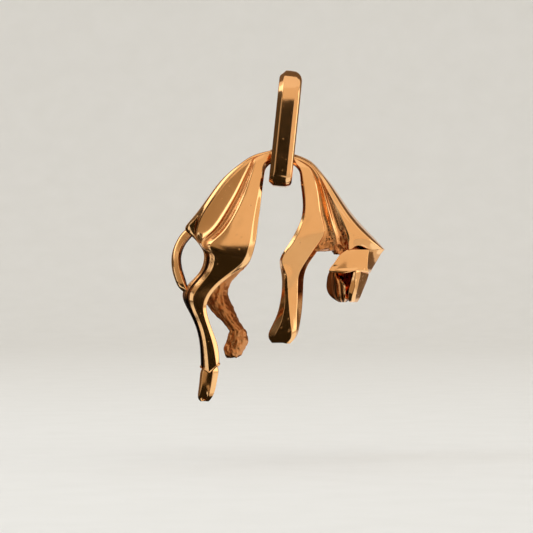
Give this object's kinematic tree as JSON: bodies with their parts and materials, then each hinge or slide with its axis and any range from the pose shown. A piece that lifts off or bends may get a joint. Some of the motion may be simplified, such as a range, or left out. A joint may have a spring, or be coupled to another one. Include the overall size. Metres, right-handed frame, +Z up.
{
  "type": "panther charm",
  "caption": "Cast gold panther draped by its waist through a flat strap bail, legs and head hanging, ridged flanks, looped tail; hangs on a neck chain.",
  "frame": {"origin": "the flat at the inside top of the bail loop, where a chain rests", "axes": "+Z up as the charm hangs, +X towards the panther's head, -Y towards the side that the picture shows"},
  "size_m": [0.0214, 0.0062, 0.0332],
  "materials": {
    "polished_gold": "mirror polished warm yellow gold",
    "bail_gold": "polished warm yellow gold with fine wear",
    "cast_gold": "rough as-cast warm yellow gold"
  },
  "bodies": {
    "bail": {"bail_loop": "bail_gold"},
    "panther": {"waist_saddle": "polished_gold", "near_haunch": "polished_gold", "near_hind_paw": "polished_gold", "far_haunch": "cast_gold", "far_hind_paw": "cast_gold", "tail": "polished_gold", "near_shoulder": "polished_gold", "far_shoulder": "polished_gold", "neck_mantle": "polished_gold", "head": "polished_gold"}
  },
  "joints": [
    {"name": "bail_swing", "type": "hinge", "parent": "bail", "child": "panther", "pos_m": [-0.00088, 0, -0.0085], "axis": [1, 0, 0], "range_deg": [-120, 120]}
  ]
}
